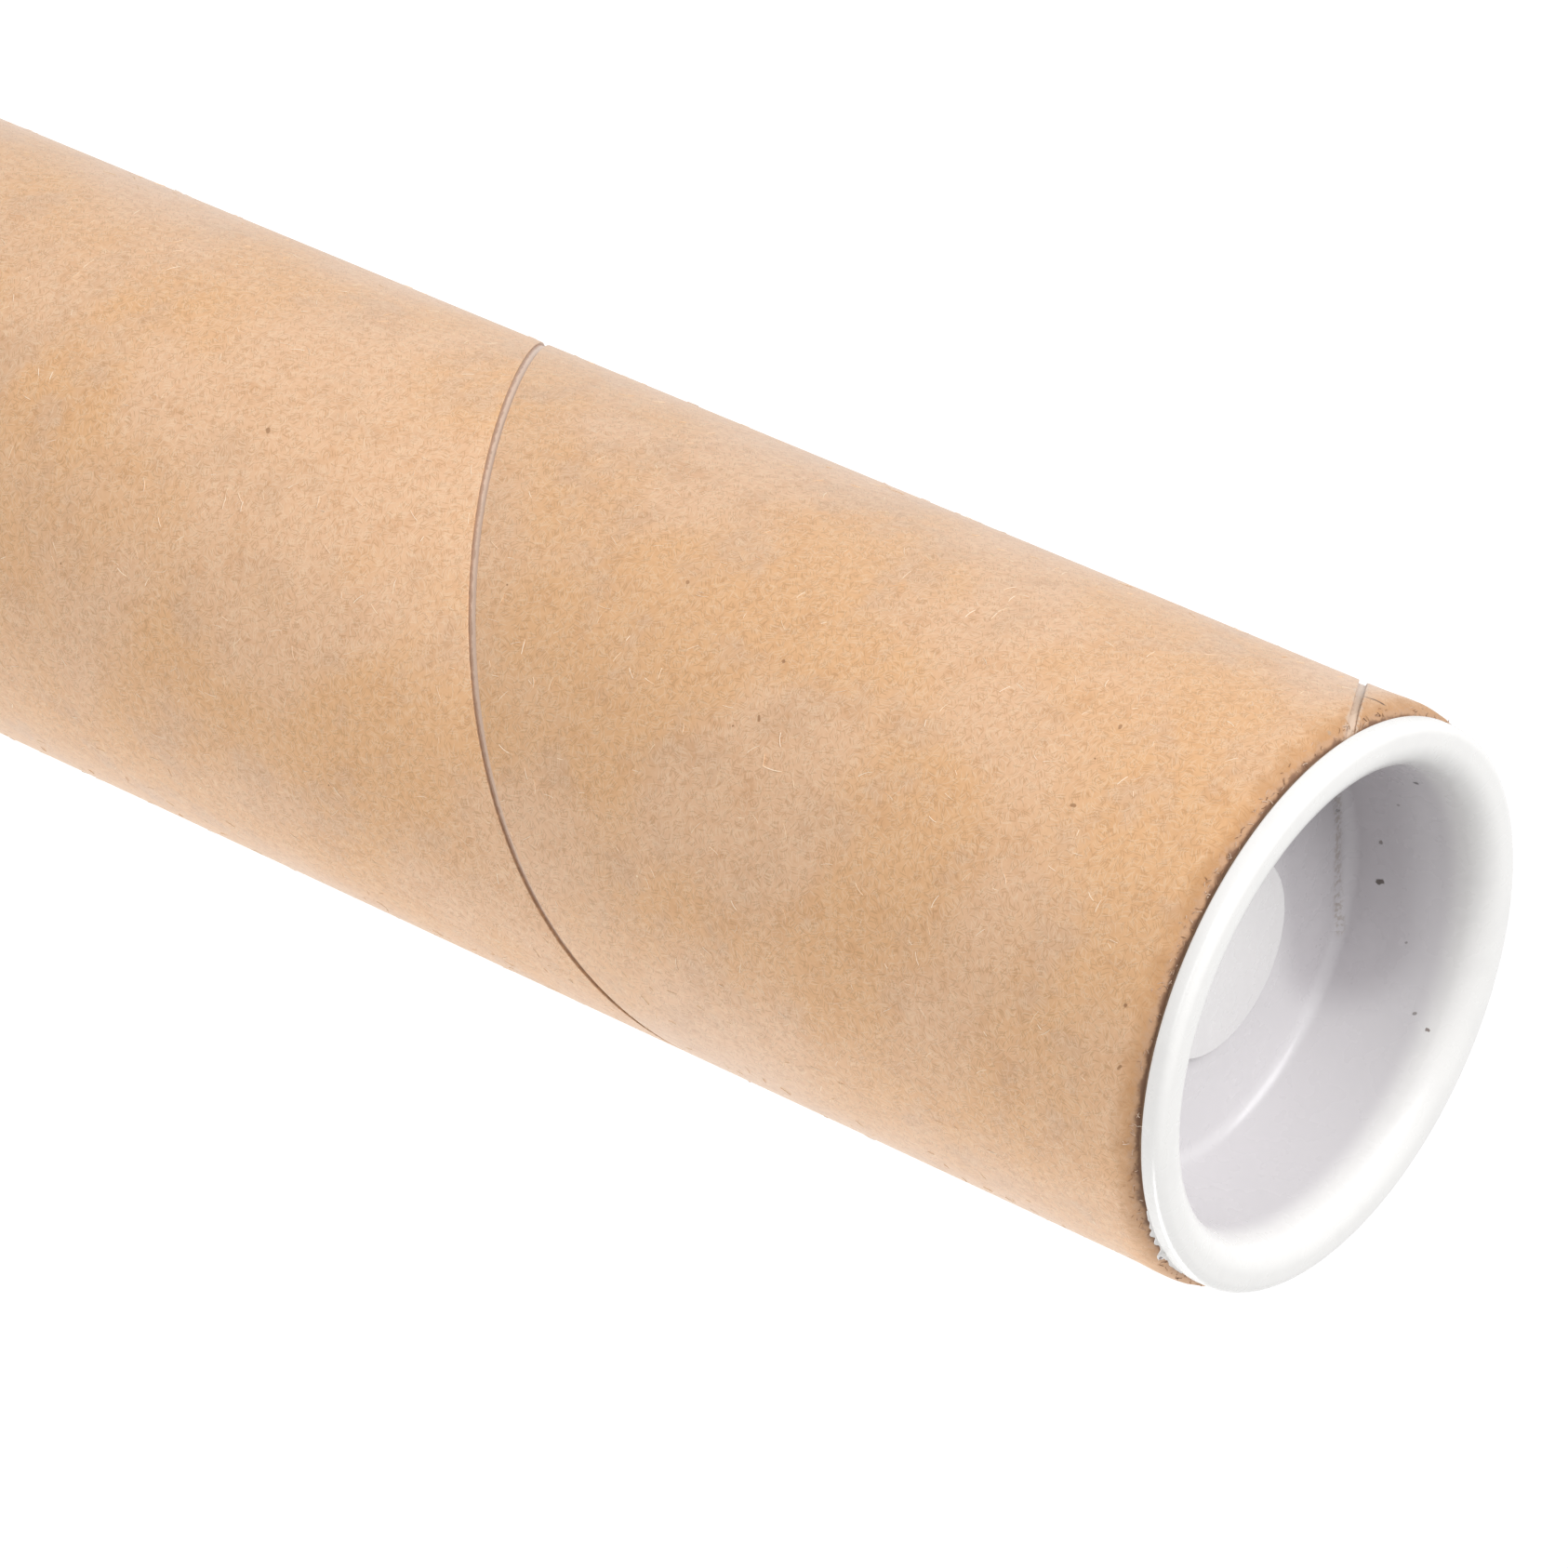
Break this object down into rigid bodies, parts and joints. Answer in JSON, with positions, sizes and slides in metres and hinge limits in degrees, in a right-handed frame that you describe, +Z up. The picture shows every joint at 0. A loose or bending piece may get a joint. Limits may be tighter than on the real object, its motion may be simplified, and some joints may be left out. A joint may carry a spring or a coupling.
{
  "type": "mailing tube",
  "caption": "Spiral-wound brown paperboard mailing tube with a seam round its wall, closed by white push-in plastic plugs, each a flanged cup.",
  "frame": {"origin": "centre of the bottom plug's flange face, on the surface that the tube stands on", "axes": "+Z up along the tube's bore, towards the top plug; the outer seam runs out at the top end at 223 degrees from +X towards +Y"},
  "size_m": [0.056, 0.056, 0.305],
  "materials": {
    "paperboard": "unbleached brown paper, matt, with fine fibres and specks",
    "white_plastic": "moulded white polyethylene, satin gloss, slightly dirty inside the cup"
  },
  "bodies": {
    "tube": {"tube": "paperboard"},
    "top_plug": {"top_plug": "white_plastic"},
    "bottom_plug": {"bottom_plug": "white_plastic"}
  },
  "joints": [
    {"name": "top_plug_pull", "type": "slide", "parent": "tube", "child": "top_plug", "axis": [0, 0, 1], "range_m": [0, 0.03]},
    {"name": "bottom_plug_pull", "type": "slide", "parent": "tube", "child": "bottom_plug", "axis": [0, 0, -1], "range_m": [0, 0.03]}
  ]
}
